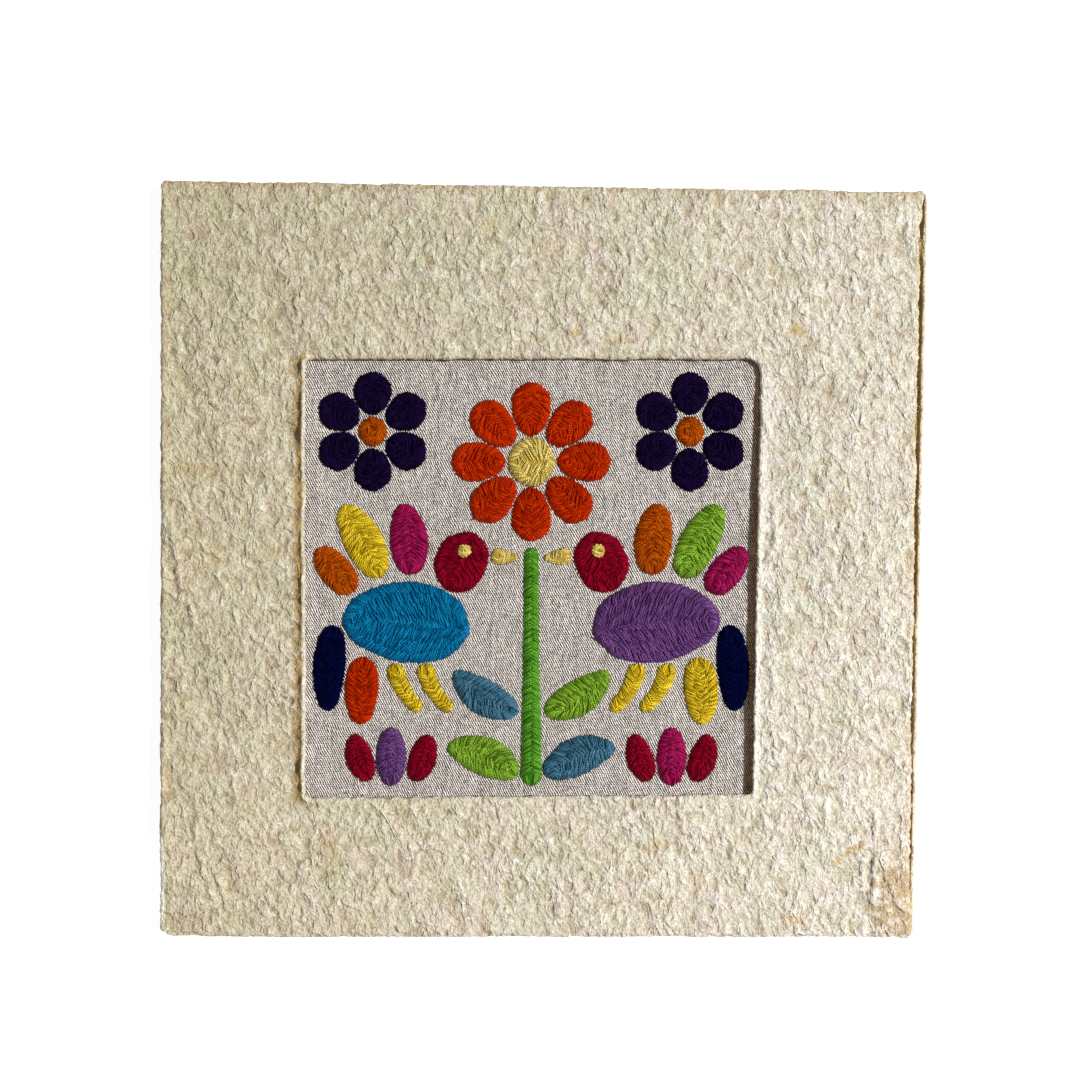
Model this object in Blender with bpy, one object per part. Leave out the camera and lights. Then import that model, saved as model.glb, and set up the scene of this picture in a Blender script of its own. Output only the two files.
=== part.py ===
# Folk embroidery on plain muslin, shown in a window mount of bark paper.
# It lies on its back: +Z is the way the embroidery faces and +Y is the picture's top.
import math

import bmesh
import bpy
from mathutils import Vector, noise

# Lengths are in millimetres, and the objects are made in metres
MM = 0.001

# Outlines from the bottom left corner, anticlockwise: x, y, corner radius
MAT_EDGE = ((-126.3, -124.0, 2.5), (119.1, -124.0, 2.6), (124.0, 121.2, 1.2), (-126.0, 124.9, 2.0))
BACK_EDGE = ((-125.6, -124.6, 2.5), (121.7, -124.6, 2.8), (126.7, 121.4, 1.2), (-125.3, 123.9, 2.0))
WINDOW = ((-78.6, -78.3, 1.5), (68.7, -77.3, 2.0), (71.5, 66.1, 4.8), (-78.6, 66.1, 1.5))
SHARPEST_CORNER = 0.4
SIDE_POINTS = 19
CORNER_POINTS = 4

# Heights of the layers, with a gap where one lies on the next
GAP = 0.3
BACK_TOP = 1.2
CLOTH_BOTTOM = BACK_TOP + GAP
CLOTH_TOP = CLOTH_BOTTOM + 1.0
CLOTH_MARGIN = 10.0
CLOTH_CORNER_MARGIN = 5.5
CLOTH_CELLS = 16
PUCKER_DEPTH = 0.25
THREAD_BOTTOM = CLOTH_TOP + GAP
THREAD_EDGE = THREAD_BOTTOM + 0.35
THREAD_CROWN = THREAD_BOTTOM + 0.85
HEAD_CROWN = THREAD_BOTTOM + 0.6
EYE_BOTTOM = HEAD_CROWN + GAP
EYE_CROWN = EYE_BOTTOM + 0.5
FULL_CROWN_WIDTH = 6.0
REBATE = THREAD_BOTTOM
MAT_TOP = 5.7
LIP_TOP = 6.5

# Mount's section, from its outer foot over the top and down into the window:
# outline, inset into the paper, height, unevenness
MAT_SECTION = (
    ("edge", 1.2, CLOTH_BOTTOM, 0.0),
    ("edge", 0.0, 3.3, 0.3),
    ("edge", 0.8, 5.0, 0.3),
    ("edge", 3.5, MAT_TOP, 0.4),
    ("edge", 17.0, MAT_TOP - 0.1, 0.5),
    ("window", 17.0, MAT_TOP - 0.1, 0.5),
    ("window", 6.5, MAT_TOP + 0.1, 0.4),
    ("window", 2.8, LIP_TOP, 0.3),
    ("window", 0.7, LIP_TOP - 0.5, 0.2),
    ("window", 0.0, 4.7, 0.0),
    ("window", 0.6, REBATE, 0.0),
    ("window", CLOTH_MARGIN + 1.3, REBATE, 0.0),
    ("window", CLOTH_MARGIN + 1.6, CLOTH_BOTTOM, 0.0),
)

# Back sheet's underside, then its rim's section from below: inset, height, lift where the rim curls
UNDERSIDE_INSET = 6.0
BACK_SECTION = (
    (1.4, 0.15, 0.4),
    (0.0, 0.45, 1.7),
    (0.3, 0.9, 2.1),
    (1.2, 1.1, 0.9),
    (2.3, BACK_TOP, 0.0),
)

# Thread colours as linear red, green, blue
THREADS = {
    "crimson": (0.16, 0.003, 0.012),
    "gold": (0.62, 0.36, 0.05),
    "green": (0.11, 0.27, 0.02),
    "indigo": (0.008, 0.005, 0.022),
    "lime": (0.2, 0.36, 0.03),
    "magenta": (0.3, 0.01, 0.07),
    "navy": (0.003, 0.005, 0.028),
    "orange": (0.36, 0.06, 0.002),
    "purple": (0.09, 0.035, 0.12),
    "red_orange": (0.4, 0.025, 0.001),
    "slate": (0.05, 0.12, 0.19),
    "turquoise": (0.004, 0.13, 0.3),
    "yellow": (0.55, 0.35, 0.01),
}

# The embroidery is laid out in millimetres from the window's middle
PICTURE_MIDDLE = (-4.2, -6.0)

# Round flowers: name, petal thread, heart thread, middle x, y, petals, petal length, heart width,
# then the petal's root, middle and tip width
FLOWERS = (
    ("bloom", "red_orange", "gold", 0.0, 38.5, 8, 17.6, 15.2, 4.4, 12.7, 8.6),
    ("daisy_right", "indigo", "orange", 52.5, 48.5, 6, 14.0, 9.2, 4.6, 12.2, 7.6),
    ("daisy_left", "indigo", "orange", -52.5, 48.5, 6, 14.0, 9.2, 4.6, 12.2, 7.6),
)
PETAL_CLEARANCE = 1.0

# Plant's stem, then the fields of the right half, which the left half mirrors in its own threads:
# name, right thread, left thread, start x, y, heading, bend, length, root, middle, tip width
STEM = ("stem", "green", 0.0, -68.5, 90, 0, 78.5, 7.0, 5.4, 4.6)
PAIRS = (
    ("body", "purple", "turquoise", 62.5, -14.5, 175, 20, 42.0, 9.0, 26.5, 13.0),
    ("head", "crimson", "crimson", 28.2, -3.6, 124, -20, 20.5, 11.0, 17.0, 11.0),
    ("beak", "gold", "gold", 13.2, 7.6, 192, -14, 8.8, 6.4, 4.6, 1.4),
    ("eye", "gold", "gold", 24.4, 9.0, 180, 0, 4.4, 3.8, 4.4, 3.8),
    ("wing_1", "orange", "magenta", 40.6, 1.2, 98, -28, 23.5, 6.5, 12.4, 5.0),
    ("wing_2", "lime", "yellow", 50.0, 0.3, 68, -12, 26.5, 6.5, 12.4, 5.0),
    ("wing_3", "magenta", "orange", 58.6, -4.4, 46, 8, 18.5, 6.5, 10.5, 5.0),
    ("tail_1", "navy", "navy", 65.4, -15.8, -82, -8, 28.0, 6.0, 10.5, 4.5),
    ("tail_2", "yellow", "red_orange", 55.2, -26.3, -82, -10, 22.0, 6.5, 11.0, 5.0),
    ("leg_1", "yellow", "yellow", 35.4, -28.4, -98, -44, 18.0, 6.2, 5.2, 4.0),
    ("leg_2", "yellow", "yellow", 45.4, -28.4, -98, -44, 18.0, 6.2, 5.2, 4.0),
    ("mid_leaf", "lime", "slate", 4.4, -44.0, 12, 40, 25.0, 4.4, 11.5, 3.0),
    ("low_leaf", "slate", "lime", 4.9, -65.5, 42, -40, 25.0, 4.4, 12.5, 3.0),
    ("bud", "magenta", "purple", 46.4, -68.6, 90, 0, 19.0, 4.0, 10.0, 4.0),
    ("bud_in", "crimson", "crimson", 39.6, -66.8, 126, -34, 16.0, 4.0, 9.0, 3.4),
    ("bud_out", "crimson", "crimson", 53.2, -66.8, 54, 34, 16.0, 4.0, 9.0, 3.4),
)
# A field's ends are elliptical over this share of its width there, less a sliver at the very end
ROUND_END = 0.5
END_SLIVER = 0.04
STATION_SPACING = 2.8
FEWEST_STATIONS = 8


def polar(point, distance, degrees):
    """The place at a distance and a heading from a point."""
    angle = math.radians(degrees)
    return Vector((point[0] + distance * math.cos(angle), point[1] + distance * math.sin(angle)))


def clear_scene():
    """Takes every object out of the scene."""
    for thing in list(bpy.data.objects):
        bpy.data.objects.remove(thing, do_unlink=True)


def make_material(name, colour, roughness):
    """A plain Principled material."""
    material = bpy.data.materials.new(name)
    material.use_nodes = True
    shader = material.node_tree.nodes["Principled BSDF"]
    shader.inputs["Base Color"].default_value = (*colour, 1.0)
    shader.inputs["Roughness"].default_value = roughness
    shader.inputs["Metallic"].default_value = 0.0
    return material


def finish_solid(name, mesh_data, material):
    """Turns a closed bmesh in millimetres into an object in metres."""
    bmesh.ops.scale(mesh_data, vec=(MM, MM, MM), verts=mesh_data.verts)
    bmesh.ops.recalc_face_normals(mesh_data, faces=mesh_data.faces)
    mesh = bpy.data.meshes.new(name)
    mesh_data.to_mesh(mesh)
    mesh_data.free()
    mesh.materials.append(material)
    mesh.shade_smooth()
    mesh.set_sharp_from_angle(angle=math.radians(50))
    solid = bpy.data.objects.new(name, mesh)
    bpy.context.collection.objects.link(solid)
    return solid


def skin(mesh_data, rings):
    """Joins rings of equal length with faces, and returns their rows of vertices."""
    rows = [[mesh_data.verts.new(point) for point in ring] for ring in rings]
    for lower, upper in zip(rows, rows[1:]):
        bridge(mesh_data, lower, upper)
    return rows


def bridge(mesh_data, lower, upper):
    """Faces between two rows of vertices that both run round."""
    count = len(lower)
    for i in range(count):
        j = (i + 1) % count
        mesh_data.faces.new((lower[i], lower[j], upper[j], upper[i]))


def stand_on_corners(mesh_data, row, corners):
    """Closes a rim below with one flat face between four corners at z = 0."""
    feet = [mesh_data.verts.new((corner.x, corner.y, 0.0)) for corner in corners]
    nearest = []
    for vert in row:
        distances = [(foot.co - vert.co).length for foot in feet]
        nearest.append(feet[distances.index(min(distances))])
    for i, vert in enumerate(row):
        j = (i + 1) % len(row)
        mesh_data.faces.new((vert, row[j], nearest[i]))
        if nearest[i] is not nearest[j]:
            mesh_data.faces.new((row[j], nearest[j], nearest[i]))
    mesh_data.faces.new(feet)


def inset_corners(corners, inset):
    """The four corners, moved in from both of their sides."""
    points = [Vector(corner[:2]) for corner in corners]
    moved = []
    for i, point in enumerate(points):
        back = (points[i - 1] - point).normalized()
        ahead = (points[(i + 1) % len(points)] - point).normalized()
        moved.append(point + (back + ahead) * inset)
    return moved


def outline(corners, inset):
    """Points round a four-sided outline moved inwards, each with the way out of it."""
    moved = inset_corners(corners, inset)
    radii = [max(SHARPEST_CORNER, corner[2] - inset) for corner in corners]
    points = []
    for i, corner in enumerate(moved):
        following = moved[(i + 1) % len(moved)]
        back = (moved[i - 1] - corner).normalized()
        ahead = (following - corner).normalized()
        middle = corner + (back + ahead) * radii[i]
        for j in range(CORNER_POINTS + 1):
            turn = math.radians(90) * j / CORNER_POINTS
            out = -(ahead * math.cos(turn) + back * math.sin(turn)).normalized()
            points.append((middle + out * radii[i], out))
        start = corner + ahead * radii[i]
        end = following - ahead * radii[(i + 1) % len(radii)]
        for j in range(1, SIDE_POINTS + 1):
            points.append((start.lerp(end, j / (SIDE_POINTS + 1)), -back))
    return points


def uneven(point, spacing, layer):
    """A soft bump between about -0.5 and 0.5 that depends on the place alone."""
    return noise.noise(Vector((point[0] / spacing, point[1] / spacing, layer)))


def torn_ring(corners, inset, tear, spacing, layer):
    """A ring whose line wanders as torn paper's does, each point with the way out of it."""
    ring = []
    for point, out in outline(corners, inset):
        ring.append((point + out * tear * uneven(point, spacing, layer), out))
    return ring


def build_mat(material):
    """Thick paper mount with a rebate behind its window, where the cloth's margin lies."""
    rings = []
    for edge, inset, height, rise in MAT_SECTION:
        corners, inwards = (MAT_EDGE, inset) if edge == "edge" else (WINDOW, -inset)
        ring = [(point.x, point.y, height + rise * uneven(point, 21.0, 6.0))
                for point, out in torn_ring(corners, inwards, 0.7, 16.0, 1.0)]
        rings.append(ring)
    mesh_data = bmesh.new()
    rows = skin(mesh_data, rings)
    bridge(mesh_data, rows[-1], rows[0])
    return finish_solid("paper_mat", mesh_data, material)


def build_back(material):
    """Back sheet, whose right rim shows beside the mount and curls up."""
    rings = []
    for inset, height, curl in BACK_SECTION:
        ring = [(point.x, point.y, height + curl * max(0.0, out.x) ** 2)
                for point, out in torn_ring(BACK_EDGE, inset, 0.5, 16.0, 3.0)]
        rings.append(ring)
    mesh_data = bmesh.new()
    rows = skin(mesh_data, rings)
    mesh_data.faces.new(rows[-1])
    stand_on_corners(mesh_data, rows[0], inset_corners(BACK_EDGE, UNDERSIDE_INSET))
    return finish_solid("back_sheet", mesh_data, material)


def build_cloth(material):
    """Muslin sheet, drawn down a little between the stitched fields."""
    bottom_left, bottom_right, top_right, top_left = (Vector(corner[:2]) for corner in WINDOW)
    mesh_data = bmesh.new()
    bmesh.ops.create_grid(mesh_data, x_segments=CLOTH_CELLS, y_segments=CLOTH_CELLS, size=1.0)
    for vert in mesh_data.verts:
        across, up = (vert.co.x + 1) / 2, (vert.co.y + 1) / 2
        flat = bottom_left.lerp(bottom_right, across).lerp(top_left.lerp(top_right, across), up)
        is_corner = abs(vert.co.x) + abs(vert.co.y) > 1.99
        margin = Vector((vert.co.x, vert.co.y)) * (CLOTH_CORNER_MARGIN if is_corner else CLOTH_MARGIN)
        drawn = PUCKER_DEPTH * abs(uneven(flat, 15.0, 7.0)) * 2
        vert.co = (*(flat + margin), CLOTH_TOP - min(drawn, PUCKER_DEPTH))
    thickness = bmesh.ops.extrude_face_region(mesh_data, geom=mesh_data.faces[:])
    for part in thickness["geom"]:
        if isinstance(part, bmesh.types.BMVert):
            part.co.z = CLOTH_BOTTOM
    return finish_solid("ground_cloth", mesh_data, material)


def field_line(start, heading, bend, length, root, middle, tip):
    """The left and right edge of a petal-like field at stations along its bent middle line."""
    steps = max(FEWEST_STATIONS, round(length / STATION_SPACING))
    root_round, tip_round = root * ROUND_END, tip * ROUND_END
    first, last = END_SLIVER * root_round, length - END_SLIVER * tip_round
    stations = []
    place = Vector(start)
    along = 0.0
    for i in range(steps + 1):
        reached = first + (last - first) * (1 - math.cos(math.pi * i / steps)) / 2
        place = polar(place, reached - along, heading + bend * (reached + along) / length / 2)
        along = reached
        share = along / length
        half = ((2 * share - 1) * (share - 1) * root + 4 * share * (1 - share) * middle
                + share * (2 * share - 1) * tip) / 2
        for from_end, rounding in ((along, root_round), (length - along, tip_round)):
            if from_end < rounding:
                half *= math.sqrt(1 - (1 - from_end / rounding) ** 2)
        way = heading + bend * share
        stations.append((polar(place, half, way + 90), polar(place, half, way - 90)))
    return stations


def mirrored(stations):
    """The same field on the other side of the picture's upright middle line."""
    return [(Vector((-right.x, right.y)), Vector((-left.x, left.y))) for left, right in stations]


def build_field(name, stations, material, bottom, crown):
    """A low padded field of thread, highest along its middle."""
    rings = []
    edge = bottom + THREAD_EDGE - THREAD_BOTTOM
    for left, right in stations:
        width = (right - left).length
        shoulder = min(0.2, 0.3 / width)
        top = edge + (crown - edge) * min(1.0, width / FULL_CROWN_WIDTH)
        section = ((0.0, bottom), (shoulder, edge), (0.5, top), (1 - shoulder, edge), (1.0, bottom))
        ring = []
        for share, height in section:
            place = left.lerp(right, share)
            ring.append((place.x + PICTURE_MIDDLE[0], place.y + PICTURE_MIDDLE[1], height))
        rings.append(ring)
    mesh_data = bmesh.new()
    rows = skin(mesh_data, rings)
    mesh_data.faces.new(rows[0])
    mesh_data.faces.new(rows[-1])
    return finish_solid(name, mesh_data, material)


def flower_fields(name, thread, heart_thread, x, y, petals, length, heart_width, root, middle, tip):
    """The petals and the heart of a round flower: name, thread and stations."""
    fields = []
    for i in range(petals):
        heading = 90 + 360 * i / petals
        start = polar((x, y), heart_width / 2 + PETAL_CLEARANCE, heading)
        fields.append((f"{name}_{i + 1}", thread, field_line(start, heading, 0, length, root, middle, tip)))
    end_width = 0.95 * heart_width
    heart = field_line((x - heart_width / 2, y), 0, 0, heart_width, end_width, 1.05 * heart_width, end_width)
    fields.append((f"{name}_heart", heart_thread, heart))
    return fields


def all_fields():
    """Every stitched field of the picture: name, thread and stations."""
    fields = []
    for flower in FLOWERS:
        fields.extend(flower_fields(*flower))
    name, thread, x, y, *shape = STEM
    fields.append((name, thread, field_line((x, y), *shape)))
    for name, right_thread, left_thread, x, y, *shape in PAIRS:
        line = field_line((x, y), *shape)
        fields.append((f"{name}_right", right_thread, line))
        fields.append((f"{name}_left", left_thread, mirrored(line)))
    return fields


def main():
    """Builds the mount, the cloth and the embroidery."""
    clear_scene()
    build_mat(make_material("bark_paper", (0.62, 0.54, 0.4), 0.95))
    build_back(make_material("bark_paper_back", (0.55, 0.47, 0.34), 0.95))
    build_cloth(make_material("muslin", (0.6, 0.54, 0.46), 0.9))
    threads = {name: make_material(f"{name}_thread", colour, 0.6) for name, colour in THREADS.items()}
    layers = {"head": (THREAD_BOTTOM, HEAD_CROWN), "eye": (EYE_BOTTOM, EYE_CROWN)}
    for name, thread, stations in all_fields():
        bottom, crown = layers.get(name.split("_")[0], (THREAD_BOTTOM, THREAD_CROWN))
        build_field(name, stations, threads[thread], bottom, crown)


main()
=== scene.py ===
import math

import bmesh
import bpy
import numpy as np
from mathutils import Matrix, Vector, noise
from mathutils.bvhtree import BVHTree


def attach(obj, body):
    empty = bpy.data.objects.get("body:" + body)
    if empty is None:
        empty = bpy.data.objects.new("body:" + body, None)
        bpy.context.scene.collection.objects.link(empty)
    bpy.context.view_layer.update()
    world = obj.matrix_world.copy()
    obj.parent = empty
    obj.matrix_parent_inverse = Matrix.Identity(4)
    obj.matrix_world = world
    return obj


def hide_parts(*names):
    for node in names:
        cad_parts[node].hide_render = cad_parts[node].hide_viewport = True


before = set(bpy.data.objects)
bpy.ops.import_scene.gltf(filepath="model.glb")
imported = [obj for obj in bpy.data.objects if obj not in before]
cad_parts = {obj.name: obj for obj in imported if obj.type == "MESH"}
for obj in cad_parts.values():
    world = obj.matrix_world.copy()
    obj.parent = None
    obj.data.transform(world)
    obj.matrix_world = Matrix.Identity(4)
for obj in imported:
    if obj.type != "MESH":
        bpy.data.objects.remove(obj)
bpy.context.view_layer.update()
# sizes here are in millimetres, and each piece is scaled to metres when it is finished
mm = 0.001
print("frame loaded:", len(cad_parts), "nodes")


# Material helpers

def newMaterial(name, roughness):
    material = bpy.data.materials.new(name)
    material.use_nodes = True
    shader = material.node_tree.nodes["Principled BSDF"]
    shader.inputs["Roughness"].default_value = roughness
    return material, shader


def addNode(material, kind, inputs=None, **settings):
    added = material.node_tree.nodes.new(kind)
    for key, value in settings.items():
        setattr(added, key, value)
    for key, value in (inputs or {}).items():
        if isinstance(value, bpy.types.NodeSocket):
            material.node_tree.links.new(value, added.inputs[key])
        else:
            added.inputs[key].default_value = value
    return added


def joinTo(material, output, shader, socket):
    material.node_tree.links.new(output, shader.inputs[socket])


def swirled(material, size, amount):
    # the object's own place, pushed about by soft noise
    place = addNode(material, "ShaderNodeTexCoord").outputs["Object"]
    push = addNode(material, "ShaderNodeTexNoise", {"Vector": place, "Scale": 1 / (size * mm), "Detail": 1.0})
    centred = addNode(material, "ShaderNodeVectorMath", {0: push.outputs["Color"], 1: (0.5, 0.5, 0.5)},
                      operation="SUBTRACT")
    pushed = {0: centred.outputs[0], 1: [2 * amount * mm] * 3, 2: place}
    return addNode(material, "ShaderNodeVectorMath", pushed, operation="MULTIPLY_ADD").outputs[0]


def grain(material, size, turn=0.0, detail=2.0, crumple=0.0, place=None):
    # noise on the object's own place, with bumps of the given size in millimetres
    place = place or addNode(material, "ShaderNodeTexCoord").outputs["Object"]
    turned = addNode(material, "ShaderNodeMapping", {
        "Vector": place,
        "Rotation": (0.0, 0.0, math.radians(turn)),
        "Scale": [side * mm for side in size],
    }, vector_type="TEXTURE")
    return addNode(material, "ShaderNodeTexNoise", {
        "Vector": turned.outputs[0], "Scale": 1.0, "Detail": detail, "Distortion": crumple,
    }).outputs[0]


def shade(material, factor, low, high, start, end):
    # from the start colour where the factor is low to the end colour where it is high
    ranged = addNode(material, "ShaderNodeMapRange", {"Value": factor, "From Min": low, "From Max": high})
    mixed = addNode(material, "ShaderNodeMix", {0: ranged.outputs[0], 6: start, 7: end}, data_type="RGBA")
    return mixed.outputs[2]


def multiplied(material, first, second):
    mixed = addNode(material, "ShaderNodeMix", {0: 1.0, 6: first, 7: second},
                    data_type="RGBA", blend_type="MULTIPLY")
    return mixed.outputs[2]


def maths(material, operation, first, second=0.0):
    return addNode(material, "ShaderNodeMath", {0: first, 1: second}, operation=operation).outputs[0]


def plus(material, first, second):
    return maths(material, "ADD", first, second)


def times(material, first, second):
    return maths(material, "MULTIPLY", first, second)


def attribute(material, name):
    return addNode(material, "ShaderNodeAttribute", attribute_name=name).outputs["Fac"]


def bump(material, height, depth, strength=1.0, under=None):
    inputs = {"Height": height, "Distance": depth * mm, "Strength": strength}
    if under:
        inputs["Normal"] = under
    return addNode(material, "ShaderNodeBump", inputs).outputs[0]


# Mesh helpers

def bumps(x, y, layer):
    return noise.noise(Vector((x, y, layer)))


def lerp(a, b, share):
    return a + (b - a) * share


def fade(distance, reach):
    # all of it at no distance, none of it from the reach on
    return max(0.0, 1 - distance / reach)


def follow(rows, at):
    # between pairs of a place and a value
    return np.interp(at, *zip(*rows))


def finishPiece(name, bm, material, replaced):
    # a bmesh in millimetres becomes a piece in metres that stands for a CAD node
    bmesh.ops.scale(bm, vec=(mm, mm, mm), verts=bm.verts)
    mesh = bpy.data.meshes.new(name)
    bm.to_mesh(mesh)
    bm.free()
    mesh.materials.append(material)
    mesh.shade_smooth()
    piece = bpy.data.objects.new(name, mesh)
    bpy.context.collection.objects.link(piece)
    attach(piece, "root")
    if replaced:
        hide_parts(replaced)
    return piece


def sideDistances(corners, x, y):
    # how far inside each side of a four-cornered outline a point is: bottom, right, top, left
    distances = []
    for i in range(4):
        ax, ay = corners[i][:2]
        bx, by = corners[(i + 1) % 4][:2]
        long = math.hypot(bx - ax, by - ay)
        distances.append(((bx - ax) * (y - ay) - (by - ay) * (x - ax)) / long)
    return distances


def insideDistance(corners, x, y):
    # distance inside an outline with rounded corners, less than nothing outside it
    bottom, right, top, left = sideDistances(corners, x, y)
    radius = corners[(0 if left < right else 1) if bottom < top else (3 if left < right else 2)][2]
    across = radius - min(left, right)
    up = radius - min(bottom, top)
    return radius - math.hypot(max(across, 0.0), max(up, 0.0)) - min(max(across, up), 0.0)


def outwards(corners, x, y):
    # the way straight out of an outline
    step = 0.05
    here = insideDistance(corners, x, y)
    way = Vector((here - insideDistance(corners, x + step, y), here - insideDistance(corners, x, y + step)))
    return way.normalized()


def roundCorners(corners, x, y, reach):
    # draws a place near a sharp corner in towards the rounded one, less so further outside
    for i in range(4):
        corner = Vector(corners[i][:2])
        back = (Vector(corners[i - 1][:2]) - corner).normalized()
        ahead = (Vector(corners[(i + 1) % 4][:2]) - corner).normalized()
        radius = corners[i][2]
        middle = corner + (back + ahead) * radius
        away = Vector((x, y)) - middle
        a, b = -away.dot(back) / radius, -away.dot(ahead) / radius
        if a <= 0 or b <= 0:
            continue
        far = max(a - 1, b - 1, 0.0) * radius
        fade = max(0.0, 1 - far / reach) ** 2
        a, b = min(a, 1.0), min(b, 1.0)
        moveA = a * (math.sqrt(1 - b * b / 2) - 1) * radius * fade
        moveB = b * (math.sqrt(1 - a * a / 2) - 1) * radius * fade
        moved = Vector((x, y)) - back * moveA - ahead * moveB
        x, y = moved
    return x, y


def extrudeRing(bm, edges, bases, inset, height, rise, layer):
    # carries a loop of edges on to the next ring of a section; bases keeps where each vertex came from
    before = {vert for edge in edges for vert in edge.verts}
    grown = bmesh.ops.extrude_edge_only(bm, edges=edges)["geom"]
    fresh = {part for part in grown if isinstance(part, bmesh.types.BMVert)}
    for vert in fresh:
        source = next(edge.other_vert(vert) for edge in vert.link_edges if edge.other_vert(vert) in before)
        base, out = bases[source]
        bases[vert] = bases[source]
        place = base - out * inset
        vert.co = (place.x, place.y, height + rise * bumps(place.x / 6, place.y / 6, layer))
    return [part for part in grown if isinstance(part, bmesh.types.BMEdge) and fresh.issuperset(part.verts)]


# Bark paper, shared by the mount and the sheet behind it

barkPaper = {
    "cream": (0.67, 0.605, 0.45, 1.0),
    "greenGrey": (0.614, 0.588, 0.424, 1.0),
    "pinkGrey": (0.668, 0.578, 0.468, 1.0),
    # painted highlight on the crests of the folds and crumples, and on the back rim's crest
    "crestHighlight": (0.81, 0.77, 0.66, 1.0),
    # painted shade in the valleys of the folds and crumples, also the duller corner's brown
    "valleyShadeAndDull": (0.44, 0.34, 0.2, 1.0),
    # brown of the torn edges, and painted shade on the left lip's shaded slope and in the groove behind the
    # back sheet's rim
    "torn": (0.46, 0.31, 0.11, 1.0),
    # bare pulp of torn edges, and painted highlight where lips and rims face the light
    "pulpAndHighlight": (0.95, 0.93, 0.84, 1.0),
    "stained": (0.55, 0.36, 0.14, 1.0),
    # painted light and shade: these multiply the paper's colour at its sides, darker to the left and top,
    # lighter to the right and bottom
    "leftTone": (0.81, 0.805, 0.755, 1.0),
    "rightTone": (1.0, 1.04, 1.19, 1.0),
    "bottomLightTone": (1.06, 1.055, 1.08, 1.0),
    "topShadeTone": (0.90, 0.905, 0.89, 1.0),
    # dark and pale fibres multiply it too, darker where their bump is low and paler where it is high: grain
    # of the fibres, and painted shade and highlight of their relief
    "fibres": ((0.77, 0.74, 0.69, 1.0), (1.23, 1.25, 1.28, 1.0)),
    "halfWidth": 125.0,
    # folds: leaning way in degrees, width and length in millimetres, how common, layer of the noise
    "folds": (
        (18, 2.6, 8.0, 0.45, 1.0), (-14, 2.4, 6.0, 0.45, 2.0),
        (42, 2.8, 6.0, 0.4, 3.0), (85, 3.2, 6.0, 0.0, 4.0),
    ),
    "depth": 0.85,
    "crumpleDepth": 1.7,
    # the material's noise: size in millimetres, turn, detail and distortion
    "crumples": ((2.4, 3.8, 3.0), 22, 3.0, 0.7),
    "creases": ((1.1, 1.9, 2.0), -14, 2.0, 0.4),
    "fineFibres": ((0.45, 0.75, 0.7), 10, 1.0),
    "rougherPlaces": ((11, 16, 9), 12, 2.0),
    "greenPatches": ((26, 30, 20), 0, 3.0),
    "pinkPatches": ((9, 13, 9), 20, 3.0),
    # noise that pushes the crumples about: its size, and how far
    "swirl": (6.0, 1.6),
    # how much of the bump they make beside the crumples
    "creaseShare": 0.32,
    "fibreShare": 0.12,
    "roughness": 0.9,
}


def barkRelief(x, y):
    # long wandering folds of the beaten bark over soft ground, in about 0 to 1
    wanderX = x + 2.2 * bumps(x / 5, y / 5, 11.3) + 0.7 * bumps(x / 1.9, y / 1.9, 12.7)
    wanderY = y + 2.2 * bumps(x / 5, y / 5, 14.1) + 0.7 * bumps(x / 1.9, y / 1.9, 15.9)
    fold = 0.0
    for turn, width, length, common, layer in barkPaper["folds"]:
        cos, sin = math.cos(math.radians(turn)), math.sin(math.radians(turn))
        across = (wanderX * cos + wanderY * sin) / width
        along = (wanderY * cos - wanderX * sin) / length
        crest = max(0.0, 1 - abs(bumps(across, along, layer)) / 0.28) ** 1.2
        present = max(0.0, min(1.0, common + 2.2 * bumps(x / 9, y / 9, 20 + layer)))
        fold = max(fold, crest * present)
    return 0.8 * fold + 0.3 * bumps(x / 3.2, y / 4.5, 31.0) + 0.2 * bumps(x / 1.7, y / 2.2, 32.0)


def toneAcross(material, colour, along, first, last):
    # multiplies a colour by one that changes from side to side: painted light and shade
    half = barkPaper["halfWidth"] * mm
    factor = shade(material, along, -half, half, barkPaper[first], barkPaper[last])
    return multiplied(material, colour, factor)


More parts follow.
